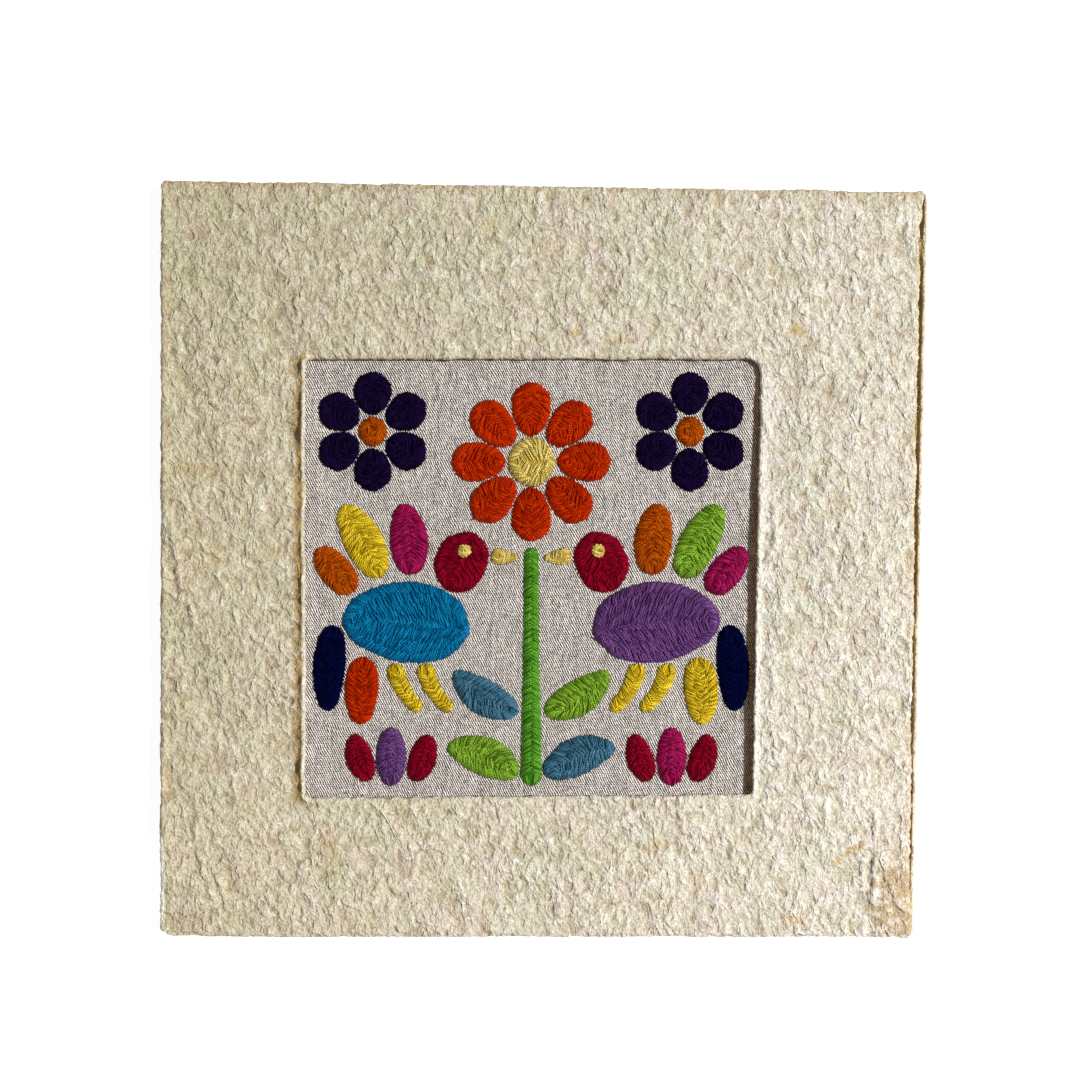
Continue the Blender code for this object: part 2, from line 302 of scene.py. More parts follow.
def makeBark(name, tone):
    material, shader = newMaterial(name, barkPaper["roughness"])
    place = swirled(material, *barkPaper["swirl"])
    crumples = grain(material, *barkPaper["crumples"], place)
    creases = grain(material, *barkPaper["creases"], place)
    fibres = grain(material, *barkPaper["fineFibres"])
    # some places are rougher than others
    rough = addNode(material, "ShaderNodeMapRange", {
        "Value": grain(material, *barkPaper["rougherPlaces"]),
        "From Min": 0.36, "From Max": 0.64, "To Min": 0.75, "To Max": 1.15,
    }).outputs[0]
    green = grain(material, *barkPaper["greenPatches"])
    pink = grain(material, *barkPaper["pinkPatches"])
    colour = shade(material, green, 0.40, 0.64, barkPaper["cream"], barkPaper["greenGrey"])
    colour = shade(material, pink, 0.46, 0.66, colour, barkPaper["pinkGrey"])
    relief = attribute(material, "relief")
    # painted shade where the relief is low, also the duller corner's brown, and painted highlight where it is
    # high
    colour = shade(material, relief, 0.22, -0.4, colour, barkPaper["valleyShadeAndDull"])
    colour = shade(material, relief, 0.5, 1.3, colour, barkPaper["crestHighlight"])
    # painted shade in the crumples' hollows and painted highlight on their tops, from the same noise as their
    # bump
    colour = shade(material, crumples, 0.46, 0.26, colour, barkPaper["valleyShadeAndDull"])
    colour = shade(material, crumples, 0.54, 0.74, colour, barkPaper["crestHighlight"])
    colour = shade(material, attribute(material, "stain"), 0.0, 1.0, colour, barkPaper["stained"])
    # brown of torn edges, and painted shade on the left lip's slope and in the back rim's groove
    colour = shade(material, attribute(material, "tearAndShade"), 0.0, 1.0, colour, barkPaper["torn"])
    parts = addNode(material, "ShaderNodeSeparateXYZ", {0: place}).outputs
    # painted light and shade across the paper
    colour = toneAcross(material, colour, parts[0], "leftTone", "rightTone")
    colour = toneAcross(material, colour, parts[1], "bottomLightTone", "topShadeTone")
    # painted shade and highlight of the fine fibres, following their bump
    colour = multiplied(material, colour, shade(material, fibres, 0.32, 0.68, *barkPaper["fibres"]))
    # bare pulp where an edge is torn, and painted highlight where the lips and the left rim face the light
    colour = shade(material, relief, 1.2, 2.1, colour, barkPaper["pulpAndHighlight"])
    joinTo(material, multiplied(material, colour, tone), shader, "Base Color")
    height = plus(material, crumples, times(material, creases, barkPaper["creaseShare"]))
    height = plus(material, height, times(material, fibres, barkPaper["fibreShare"]))
    normal = bump(material, times(material, height, rough), barkPaper["crumpleDepth"])
    joinTo(material, normal, shader, "Normal")
    return material


# Mount, with its window

paperMount = {
    # corners from the bottom left, anticlockwise: x, y and radius
    "outer": ((-126.3, -124.0, 2.5), (119.1, -124.0, 2.6), (124.0, 121.2, 1.2), (-126.0, 124.9, 2.0)),
    "window": ((-78.6, -78.3, 1.5), (68.7, -77.3, 2.0), (71.5, 66.1, 4.8), (-78.6, 66.1, 1.5)),
    # cells of the grid, and the size of its three columns and rows of patches
    "cell": 0.68,
    "columns": (47.5, 148, 50),
    "rows": (46, 144, 57),
    # how far from each outline its rounded corners are felt
    "rounding": {"outer": 1.0, "window": 12.0},
    # surface by distance from each edge
    "outerHeights": ((0, 4.9), (0.35, 5.35), (1.0, 5.6), (17, 5.6)),
    "windowHeights": ((0, 5.0), (0.6, 5.5), (17, 5.6)),
    "middleHeight": 5.6,
    # lip round the window, worked up by the tearing: its section, then its height by side
    "lip": ((-1, 0.3), (0, 0.5), (0.4, 1.0), (0.9, 0.95), (1.5, 0.3), (2.2, 0.0), (99, 0.0)),
    "lipHeights": {"left": 1.5, "right": -0.2, "top": -0.3, "bottom": 0.1},
    # brown along the lip by side: the torn edge's brown at the top and bottom, and on the left painted shade
    # on the lip's shaded outer slope; from and to this far from the window, strength
    "lipStainsAndShade": {
        "left": (0.7, 3.2, 1.0), "right": (-1.0, -0.5, 0.0),
        "top": (-1.0, 0.7, 0.8), "bottom": (-1.0, 0.4, 0.25),
    },
    # how far from the window its edge is felt
    "lipReach": 12.0,
    # dip beside the right edge of the window, and how much narrower it is, by place up the side
    "rightDip": ((0, 0.0), (0.8, 0.0), (3.2, -1.0), (12, 0.0), (99, 0.0)),
    "rightNarrowing": ((-70, 2.4), (0, 1.3), (45, 0.8)),
    # how far the right edge of the window is pressed down, by place up the side
    "rightPressed": ((-70, -0.8), (0, -0.6), (60, 0.6)),
    # painted shade: the left side is darker beside its lip
    "leftDull": ((1.0, 0.0), (1.6, 0.8), (3.2, 0.6), (5.5, 0.0)),
    # curled rim along the left side
    "leftRim": ((0, 0.5), (0.8, 1.0), (3.2, 0.0), (99, 0.0)),
    "leftRimHeight": 0.8,
    # how far in the tears and the outer rim are felt
    "tearReach": 3.0,
    "rimReach": 5.0,
    # how far the right edge reaches over the groove beside it: by place up the side
    "rightReach": ((-122, 1.9), (-108, 0.8), (-20, 0.5), (30, 0.1), (112, 0.2), (120.5, 1.5)),
    # painted highlight along the left edge's lower part, where its rim is flatter, by place up the side
    "paleLeft": ((-122, 0.0), (-117, 1.0), (-96, 1.0), (-88, 0.0)),
    # the bottom edge rises to the left: from this place, over this width, by this much
    "lowerLeftRise": (-107.6, 18.0, 2.0),
    # lifted flap on the right edge: middle and half height
    "flap": (-46.0, 7.0),
    # stains: x, y, half width, half height, turn, strength
    "spots": (
        (83.2, 75.7, 2.2, 1.6, 0, 0.8), (10.2, 74.7, 1.6, 1.2, 0, 0.8), (102, -94.8, 3.6, 1.1, 32, 0.8),
        (96.5, -99, 2.2, 0.8, 40, 0.8), (37, -94, 3.0, 1.8, 40, 0.5), (50.7, -105.6, 1.6, 3.4, 0, 0.45),
        (82.3, -118.2, 3.0, 1.8, 0, 0.5), (-70, -96, 2.4, 7.0, 0, 0.4), (-114.5, 30, 6.0, 1.8, 0, 0.4),
        (-108.5, 1.5, 4.0, 2.6, 0, 0.35), (-89.6, 3.4, 2.4, 1.4, 0, 0.4), (-17.2, 110, 2.4, 1.8, 0, 0.45),
        (3, 102, 4.5, 3.6, 0, 0.25), (25.6, 72.4, 2.8, 1.8, 0, 0.5), (116, -113, 5.0, 11.0, 0, 0.3),
    ),
    # a duller, rougher corner: x, y, half width, half height
    "dull": (116.0, -114.0, 12.0, 17.0),
    # main creases: start, end, bow to the left, half width, height
    "creases": (
        ((-114.8, -83.2), (-108.2, -111.8), -1.5, 1.0, 1.1), ((-110.9, -98), (-103, -119.4), 1.0, 1.0, 0.9),
        ((-116, -76), (-112, -97), 1.0, 1.2, 0.7), ((-76, -78.9), (-66.8, -84.4), 0.5, 1.0, 0.9),
        ((-58.9, -78.9), (-45.7, -96.4), 2.6, 1.1, 1.0), ((108.3, -80.5), (108.8, -92), 0.4, 0.8, 1.5),
        ((109.9, -91), (108.4, -117.5), -0.8, 0.8, 1.5), ((97.8, 16.1), (103.6, -4), -0.8, 1.2, 0.9),
        ((77.6, -7), (78, -17.5), 0.3, 1.3, 1.0), ((75.8, 19), (75.4, 3), 0.3, 1.3, 0.9),
        ((95.6, 1.5), (96.9, -7), 0, 1.0, -0.9), ((16, 88.8), (22.6, 79.6), -0.6, 0.9, -1.0),
        ((-124.2, 16), (-119, -15), 1.2, 1.6, 1.0), ((-117.5, -2), (-114.6, -22), -0.8, 1.2, 0.8),
        ((-106.5, -6), (-104.5, -13), 0.4, 0.9, 0.7), ((-90.5, 34), (-86, 24), -1.0, 1.0, 0.6),
        ((111.5, -102), (118.5, -119), 0.6, 1.0, 1.1), ((104, -113), (114, -120), -0.6, 0.9, 0.8),
    ),
    # walls from the top down: inset, height, unevenness
    "outerWall": ((-0.1, 4.3, 0.5), (-0.2, 3.0, 0.4), (1.2, 1.5, 0.0)),
    "windowWall": ((0.1, 3.8, 0.3), (0.6, 2.8, 0.0), (11.3, 2.8, 0.0), (11.6, 1.5, 0.0)),
}


def mountPlace(column, row, counts):
    # nine patches between the outer corners and the window's, without the middle one
    outer = [Vector(corner[:2]) for corner in paperMount["outer"]]
    inner = [Vector(corner[:2]) for corner in paperMount["window"]]
    bottomLeft, bottomRight, topRight, topLeft = outer
    low, high = (inner[0] - bottomLeft).x, (inner[1] - bottomLeft).x
    wide = (bottomRight - bottomLeft).x
    left, right = low / wide, high / wide
    tall = (topLeft - bottomLeft).y
    down, up = (inner[0] - bottomLeft).y / tall, (inner[3] - bottomLeft).y / tall
    control = (
        (bottomLeft, lerp(bottomLeft, bottomRight, left), lerp(bottomLeft, bottomRight, right), bottomRight),
        (lerp(bottomLeft, topLeft, down), inner[0], inner[1], lerp(bottomRight, topRight, down)),
        (lerp(bottomLeft, topLeft, up), inner[3], inner[2], lerp(bottomRight, topRight, up)),
        (topLeft, lerp(topLeft, topRight, left), lerp(topLeft, topRight, right), topRight),
    )
    columns, rows = counts
    i = 0 if column <= columns[0] else (1 if column <= columns[0] + columns[1] else 2)
    j = 0 if row <= rows[0] else (1 if row <= rows[0] + rows[1] else 2)
    s = (column - sum(columns[:i])) / columns[i]
    t = (row - sum(rows[:j])) / rows[j]
    bottom = lerp(control[j][i], control[j][i + 1], s)
    top = lerp(control[j + 1][i], control[j + 1][i + 1], s)
    return lerp(bottom, top, t)


def spotAt(x, y):
    # how stained a place is
    stain = 0.0
    ragged = 0.9 * bumps(x / 1.3, y / 1.3, 41.0) + 0.5 * bumps(x / 4, y / 4, 42.0)
    for middleX, middleY, wide, tall, turn, strength in paperMount["spots"]:
        cos, sin = math.cos(math.radians(turn)), math.sin(math.radians(turn))
        a = ((x - middleX) * cos + (y - middleY) * sin) / wide
        b = ((y - middleY) * cos - (x - middleX) * sin) / tall
        stain = max(stain, strength * min(1.0, 1.6 - math.hypot(a, b) + ragged))
    return max(0.0, stain)


def creaseAt(x, y, creases):
    # how high the creases stand at a place
    height = 0.0
    wander = 0.7 * bumps(x / 3.5, y / 3.5, 51.0)
    for (startX, startY), (endX, endY), bow, half, high in creases:
        runX, runY = endX - startX, endY - startY
        long = math.hypot(runX, runY)
        share = ((x - startX) * runX + (y - startY) * runY) / long ** 2
        if 0 < share < 1:
            aside = (runX * (y - startY) - runY * (x - startX)) / long
            aside += wander - bow * 4 * share * (1 - share)
            height += high * math.sin(math.pi * share) ** 0.6 * fade(abs(aside), half)
    return height


def sideShares(out):
    # how much a place belongs to each side, by the way straight out of its outline
    return {"left": max(0.0, -out.x) ** 2, "right": max(0.0, out.x) ** 2,
            "top": max(0.0, out.y) ** 2, "bottom": max(0.0, -out.y) ** 2}


def lipStainAndShade(shares, distance):
    # how brown the lip is at a distance from the window: torn brown, and painted shade on the left
    stain = 0.0
    for side, share in shares.items():
        start, end, strength = paperMount["lipStainsAndShade"][side]
        stain += share * strength * max(0.0, min(1.0, (distance - start) / 0.4, (end - distance) / 0.4))
    return stain


def mountGrid(bm):
    # a grid in nine patches without the middle one, and its two loops of edges
    columns = [round(wide / paperMount["cell"]) for wide in paperMount["columns"]]
    rows = [round(tall / paperMount["cell"]) for tall in paperMount["rows"]]
    bmesh.ops.create_grid(bm, x_segments=sum(columns), y_segments=sum(rows), size=1.0)

    def gridPlace(co):
        return (co.x + 1) / 2 * sum(columns), (co.y + 1) / 2 * sum(rows)

    cut = []
    for face in bm.faces:
        column, row = gridPlace(face.calc_center_median())
        if columns[0] < column < columns[0] + columns[1] and rows[0] < row < rows[0] + rows[1]:
            cut.append(face)
    bmesh.ops.delete(bm, geom=cut, context="FACES")
    loops = {"outer": [], "window": []}
    for edge in bm.edges:
        if edge.is_boundary:
            column, row = gridPlace((edge.verts[0].co + edge.verts[1].co) / 2)
            onOuter = min(column, row, sum(columns) - column, sum(rows) - row) < 0.01
            loops["outer" if onOuter else "window"].append(edge)
    for vert in bm.verts:
        x, y = mountPlace(*[round(part) for part in gridPlace(vert.co)], (columns, rows))
        for outline, reach in paperMount["rounding"].items():
            x, y = roundCorners(paperMount[outline], x, y, reach)
        vert.co = (x, y, 0.0)
    return loops


def tearRims(vert, distances, rims, bases):
    # both edges are torn, so the paper's rim wanders, most on the right
    x, y = vert.co.x, vert.co.y
    for outline, sense in (("outer", 1), ("window", -1)):
        distance, inRim = distances[outline], vert in rims[outline]
        if distance >= paperMount["tearReach"] and not inRim:
            continue
        out = outwards(paperMount[outline], x, y) * sense
        ragged = 0.7 * bumps(x / 16, y / 16, 1.0) + 0.5 * bumps(x / 2.8, y / 2.8, 5.5)
        ragged = ragged * (0.4 + 0.3 * max(0.0, out.x)) + 0.3 * bumps(x / 1.1, y / 1.1, 6.5)
        if outline == "outer":
            reach = follow(paperMount["rightReach"], y) + 0.4 * bumps(x / 30, y / 19, 71.0)
            ragged += max(0.0, out.x) * (reach + 0.5 * bumps(x / 1.4, y / 1.4, 72.0))
            riseFrom, riseOver, rise = paperMount["lowerLeftRise"]
            ragged -= max(0.0, -out.y) * rise * max(0.0, (riseFrom - x) / riseOver)
        vert.co.x += out.x * ragged * (1 - distance / paperMount["tearReach"])
        vert.co.y += out.y * ragged * (1 - distance / paperMount["tearReach"])
        if inRim:
            bases[vert] = (Vector((vert.co.x, vert.co.y)), out)


def besideWindow(x, y, distance):
    # lift, paleness and brown of the torn lip and the paper beside it; the paleness is painted highlight
    # where the lip faces the light and painted shade beside the left lip
    if distance >= paperMount["lipReach"]:
        return 0.0, 0.0, 0.0
    shares = sideShares(outwards(paperMount["window"], x, y))
    uneven = 1 + 1.2 * bumps(x / 9, y / 9, 8.0) + 0.7 * bumps(x / 2.6, y / 2.6, 18.0)
    lip = sum(share * paperMount["lipHeights"][side] for side, share in shares.items())
    lift = lip * uneven * follow(paperMount["lip"], distance)
    # the right side rises towards the window, over more of its width further up
    narrow = follow(paperMount["rightNarrowing"], y) + 0.5 * bumps(x / 14, y / 14, 28.0)
    lift += shares["right"] * follow(paperMount["rightDip"], distance * narrow) / max(1.0, narrow)
    lift -= shares["right"] * follow(paperMount["rightPressed"], y) * fade(distance, 3)
    patchy = 1.0 + 1.6 * bumps(x / 7, y / 7, 68.0) + 1.1 * bumps(x / 2, y / 2, 69.0)
    # painted highlight on the right lip and the left lip's lit edge, a pale line at the bottom, and painted
    # shade beside the left lip
    pale = shares["right"] * (1.1 * fade(distance, 1.8) + 0.6 * fade(distance, 10))
    pale += shares["bottom"] * fade(distance, 0.9)
    pale += 1.3 * shares["left"] * fade(abs(distance - 0.3), 0.8)
    pale -= shares["left"] * follow(paperMount["leftDull"], distance)
    return lift, pale, lipStainAndShade(shares, distance) * patchy


def besideEdge(x, y, distance):
    # lift, paleness and brown of the outer rim; the pale band low on the left is painted highlight
    if distance >= paperMount["rimReach"]:
        return 0.0, 0.0, 0.0
    sides = sideShares(outwards(paperMount["outer"], x, y))
    highlightShare = follow(paperMount["paleLeft"], y)
    curl = follow(paperMount["leftRim"], distance) * (0.8 - 0.6 * highlightShare + 1.6 * bumps(x / 20, y / 20, 38.0))
    middle, half = paperMount["flap"]
    flap = sides["right"] * max(0.0, 1 - ((y - middle) / half) ** 2) * fade(distance, 2.5)
    lift = paperMount["leftRimHeight"] * curl * sides["left"] + flap
    # painted highlight on the left edge's lower band
    pale = 1.3 * flap + 2.4 * sides["left"] * highlightShare * max(0.0, min(1.0, 2.4 - 1.4 * distance))
    pale += sides["bottom"] * fade(distance, 1)
    speckled = 0.6 * sides["top"] + 0.3 * sides["left"] * (y > 20) + 0.12
    speckles = speckled * fade(distance, 4.5) * max(0.0, 0.4 + 1.8 * bumps(x / 1.3, y / 1.3, 9.0))
    edged = 0.2 * sides["top"] + sides["right"] + 0.15 * sides["left"] * (y > -90)
    edge = edged * max(0.0, 0.6 - distance / 1.2 + 0.6 * bumps(x / 2, y / 2, 19.0))
    return lift, pale, max(speckles, edge)


def dullAt(x, y):
    # the duller corner, from 0 outside it to 1 in its middle
    middleX, middleY, wide, tall = paperMount["dull"]
    return max(0.0, 1 - math.hypot((x - middleX) / wide, (y - middleY) / tall)) ** 0.5


def buildMount(material):
    outer, window = paperMount["outer"], paperMount["window"]
    bm = bmesh.new()
    relief, stain, tearAndShade = (bm.verts.layers.float.new(name) for name in ("relief", "stain", "tearAndShade"))
    loops = mountGrid(bm)
    rims = {outline: {vert for edge in loop for vert in edge.verts} for outline, loop in loops.items()}
    print("mount grid:", len(bm.verts), "places")

    bases = {}
    for vert in bm.verts:
        x, y = vert.co.x, vert.co.y
        fromOuter = max(0.0, insideDistance(outer, x, y))
        fromWindow = max(0.0, -insideDistance(window, x, y))
        tearRims(vert, {"outer": fromOuter, "window": fromWindow}, rims, bases)
        lipLift, lipPale, lipBrownAndShade = besideWindow(x, y, fromWindow)
        edgeLift, edgePale, edgeBrown = besideEdge(x, y, fromOuter)
        high = follow(paperMount["outerHeights"], fromOuter)
        high += follow(paperMount["windowHeights"], fromWindow) - paperMount["middleHeight"]
        high += lipLift + edgeLift + creaseAt(x, y, paperMount["creases"]) + 0.45 * bumps(x / 24, y / 24, 6.0)
        bark = barkRelief(x, y)
        calm = min(1.0, 0.5 + fromOuter / 4, 0.4 + fromWindow / 4)
        vert.co.z = high + barkPaper["depth"] * bark * calm
        dulled = dullAt(x, y) * (0.85 + 1.5 * bumps(x / 2.4, y / 2.4, 73.0))
        # the relief drives painted shade in its low places and painted highlight on its high ones
        vert[relief] = bark + lipPale + edgePale - dulled
        vert[stain] = spotAt(x, y)
        vert[tearAndShade] = max(0.0, min(0.9, max(lipBrownAndShade, edgeBrown)))
    print("mount wrinkled")

    outerLoop, windowLoop = loops["outer"], loops["window"]
    for inset, height, rise in paperMount["outerWall"]:
        outerLoop = extrudeRing(bm, outerLoop, bases, inset, height, rise, 3.0)
    for inset, height, rise in paperMount["windowWall"]:
        windowLoop = extrudeRing(bm, windowLoop, bases, inset, height, rise, 4.0)
    bmesh.ops.bridge_loops(bm, edges=outerLoop + windowLoop)
    bmesh.ops.triangulate(bm, faces=[face for face in bm.faces if len(face.verts) > 4])
    bmesh.ops.recalc_face_normals(bm, faces=bm.faces)
    return finishPiece("paper_mount", bm, material, "paper_mat")


mount = buildMount(makeBark("bark paper", (1.0, 1.0, 1.0, 1.0)))
print("mount:", len(mount.data.polygons), "faces")


# Sheet behind the mount, whose right rim curls up beside it

backingSheet = {
    "outer": ((-125.6, -124.6, 2.5), (121.7, -124.6, 2.8), (126.7, 121.4, 1.2), (-125.3, 123.9, 2.0)),
    "cells": 110,
    # rim from below: inset, height, lift on the right, lean on the right, tint; the tint is the torn rim's
    # brown, on the inner rows also painted shade in the groove, and where it is low the crest takes a painted
    # highlight
    "rim": (
        (1.4, 0.15, 0.2, 0.0, 0.8), (-0.35, 0.4, 0.9, 0.0, 0.35), (-0.45, 0.8, 1.5, 0.0, 0.25),
        (-0.1, 1.0, 1.8, 0.1, 0.2), (0.55, 1.0, 1.7, 0.1, 0.25), (0.8, 1.05, 0.9, 0.2, 0.9),
        (1.2, 1.1, 0.2, 0.2, 1.0), (2.0, 1.15, 0.1, 0.0, 1.0),
    ),
    # its two faces: height, and how far in the face ends
    "faces": ((0.0, 3.0), (1.2, 2.3)),
    "rounding": 1.0,
    "plainRelief": 0.4,
    "tone": (0.97, 0.93, 0.82, 1.0),
}


def buildBacking(material):
    cells, outer = backingSheet["cells"], backingSheet["outer"]
    bottomLeft, bottomRight, topRight, topLeft = (Vector(corner[:2]) for corner in outer)
    bm = bmesh.new()
    relief = bm.verts.layers.float.new("relief")
    bm.verts.layers.float.new("stain")  # none here, but the material reads it
    tearAndShade = bm.verts.layers.float.new("tearAndShade")
    loops = []
    bases = {}
    for height, inset in backingSheet["faces"]:
        made = bmesh.ops.create_grid(bm, x_segments=cells, y_segments=cells, size=1.0)["verts"]
        inLayer = set(made)
        for vert in made:
            across, up = (vert.co.x + 1) / 2, (vert.co.y + 1) / 2
            flat = lerp(lerp(bottomLeft, bottomRight, across), lerp(topLeft, topRight, across), up)
            x, y = roundCorners(outer, flat.x, flat.y, backingSheet["rounding"])
            if vert.is_boundary:
                out = outwards(outer, x, y)
                ragged = 0.5 * bumps(x / 16, y / 16, 3.0) + 0.35 * bumps(x / 3, y / 3, 5.0)
                ragged *= 1 - 0.8 * abs(out.x)
                bases[vert] = (Vector((x, y)) + out * ragged, out)
                x, y = bases[vert][0] - out * inset
            vert.co = (x, y, height)
            vert[relief] = backingSheet["plainRelief"]
        loops.append([edge for edge in bm.edges if edge.is_boundary and inLayer.issuperset(edge.verts)])
    low, high = loops
    for inset, height, lift, lean, tint in backingSheet["rim"]:
        low = extrudeRing(bm, low, bases, inset, height, 0.15, 2.0)
        for vert in {vert for edge in low for vert in edge.verts}:
            base, out = bases[vert]
            onRight = max(0.0, out.x) ** 2
            wave = 0.85 + 0.5 * bumps(base.x / 9, base.y / 9, 17.0)
            wave += 0.25 * bumps(base.x / 2, base.y / 2, 37.0)
            vert.co.z += lift * wave * onRight
            vert.co.x -= max(0.0, lean * (2.6 * bumps(base.x / 11, base.y / 11, 27.0) + 0.1)) * onRight
            # brown of the torn rim with painted shade in its groove, and painted highlight on its crest
            vert[tearAndShade] = tint * (0.4 + 0.6 * onRight)
            vert[relief] = backingSheet["plainRelief"] + (1 - tint) * (0.4 + 0.4 * onRight)
    bmesh.ops.bridge_loops(bm, edges=low + high)
    bmesh.ops.recalc_face_normals(bm, faces=bm.faces)
    return finishPiece("backing_sheet", bm, material, "back_sheet")


backing = buildBacking(makeBark("backing paper", backingSheet["tone"]))
print("backing:", len(backing.data.polygons), "faces")


# Muslin, drawn in a little by the stitches

muslinCloth = {
    "window": paperMount["window"],
    # how far it reaches under the mount, and at its corners
    "margin": 10.0,
    "cornerMargin": 5.5,
    "cells": 180,
    "top": 2.5,
    "bottom": 1.5,
    # how far the stitches draw it down in places
    "pucker": 0.22,
    "roughness": 0.88,
    # spacing of the warp's floats and of the rows, and how far the floats lean over
    "threads": (0.78, 0.72),
    "lean": 0.53,
    "sway": 1.2,
    # how much each makes of the pattern
    "floats": 1.15,
    "rows": 0.35,
    "broken": 2.2,
    "slubs": 2.6,
    "contrast": (-0.85, 1.0),
    "pale": (0.97, 0.915, 0.88, 1.0),
    "shadow": (0.085, 0.066, 0.056, 1.0),
    # painted shadow: brown on the cloth where the window's right edge casts its shadow, how far from that
    # edge it reaches by place up the side, and the height above which it stops
    "paintedShadowBrown": (1.0, 0.71, 0.47, 1.0),
    "paintedShadowReach": ((-70, 2.8), (-10, 2.6), (60, 1.9)),
    "paintedShadowBelow": 62.0,
    # small puckers: start, end, bow, half width, height
    "puckers": (
        ((-77.5, 18.6), (-72.0, 13.0), 0.4, 1.0, 0.45), ((51.6, 67), (49.0, 59.5), 0.5, 0.9, 0.5),
        ((54.8, 66.5), (57.0, 60.0), -0.4, 0.9, 0.4), ((46.5, 66.5), (44.5, 62.5), 0.2, 0.8, 0.35),
        ((-63.5, -70.0), (-60.5, -79.0), 0.5, 1.0, 0.4), ((-30, 30), (-33, 22), 0.3, 1.2, 0.3),
        ((20.0, -66.5), (27.0, -71.0), 0.4, 1.1, 0.35), ((62.0, -20), (66.0, -29), 0.5, 1.1, 0.3),
    ),
}


def makeMuslin():
    material, shader = newMaterial("muslin", muslinCloth["roughness"])
    place = addNode(material, "ShaderNodeTexCoord").outputs["Object"]
    parts = addNode(material, "ShaderNodeSeparateXYZ", {0: place}).outputs
    sway = times(material, grain(material, (4, 4, 4)), muslinCloth["sway"] * mm)
    # the floats of the threads lean down to the right, and the weft breaks them up
    leaning = plus(material, plus(material, parts[0], sway), times(material, parts[1], muslinCloth["lean"]))
    floatTurns, rowTurns = (2 * math.pi / (spacing * mm) for spacing in muslinCloth["threads"])
    floats = maths(material, "SINE", times(material, leaning, floatTurns))
    rows = maths(material, "SINE", times(material, parts[1], rowTurns))
    weave = plus(material, times(material, floats, muslinCloth["floats"]),
                 times(material, rows, muslinCloth["rows"]))
    broken = maths(material, "SUBTRACT", grain(material, (0.5, 0.8, 1.0), 28, 1), 0.5)
    weave = plus(material, weave, times(material, broken, muslinCloth["broken"]))
    slubs = plus(material, grain(material, (0.5, 6.0, 1.0)), grain(material, (1.8, 0.5, 1.0)))
    slubs = times(material, maths(material, "SUBTRACT", slubs, 1.0), muslinCloth["slubs"])
    colour = shade(material, plus(material, weave, slubs), *muslinCloth["contrast"],
                   muslinCloth["shadow"], muslinCloth["pale"])
    # painted shadow: brown tint on the cloth beside the window's right edge
    paintedShadowBrown = shade(material, attribute(material, "edge"), 0.0, 1.0, (1.0, 1.0, 1.0, 1.0), muslinCloth["paintedShadowBrown"])
    joinTo(material, multiplied(material, colour, paintedShadowBrown), shader, "Base Color")
    normal = bump(material, weave, 0.15, 1.0)
    normal = bump(material, slubs, 0.05, 0.6, normal)
    joinTo(material, normal, shader, "Normal")
    return material


def buildMuslin(material):
    bottomLeft, bottomRight, topRight, topLeft = (Vector(corner[:2]) for corner in muslinCloth["window"])
    cells = muslinCloth["cells"]
    bm = bmesh.new()
    # share of the painted shadow beside the window's right edge
    edge = bm.verts.layers.float.new("edge")
    bmesh.ops.create_grid(bm, x_segments=cells, y_segments=cells, size=1.0)
    for vert in bm.verts:
        across, up = (vert.co.x + 1) / 2, (vert.co.y + 1) / 2
        flat = lerp(lerp(bottomLeft, bottomRight, across), lerp(topLeft, topRight, across), up)
        nearCorner = max(0.0, abs(vert.co.x) + abs(vert.co.y) - 1.9) / 0.1
        margin = muslinCloth["margin"] - nearCorner * (muslinCloth["margin"] - muslinCloth["cornerMargin"])
        x, y = flat.x + vert.co.x * margin, flat.y + vert.co.y * margin
        drawn = abs(bumps(x / 13, y / 16, 7.0)) + 0.5 * abs(bumps(x / 5 + y / 15, y / 9, 9.0))
        puckered = creaseAt(x, y, muslinCloth["puckers"])
        vert.co = (x, y, muslinCloth["top"] - muslinCloth["pucker"] * min(1.0, 1.6 * drawn) + puckered)
        # painted shadow: brown where the paper's right edge casts its shadow on the cloth
        fromRight = sideDistances(muslinCloth["window"], x, y)[1]
        shadowTinted = max(0.0, min(1.0, follow(muslinCloth["paintedShadowReach"], y) - fromRight))
        vert[edge] = shadowTinted * (y < muslinCloth["paintedShadowBelow"])
    under = bmesh.ops.extrude_face_region(bm, geom=bm.faces[:])["geom"]
    for part in under:
        if isinstance(part, bmesh.types.BMVert):
            part.co.z = muslinCloth["bottom"]
    bmesh.ops.recalc_face_normals(bm, faces=bm.faces)
    return finishPiece("muslin", bm, material, "ground_cloth")


muslin = buildMuslin(makeMuslin())
print("muslin:", len(muslin.data.polygons), "faces")


# Embroidery, laid out in millimetres from the window's middle

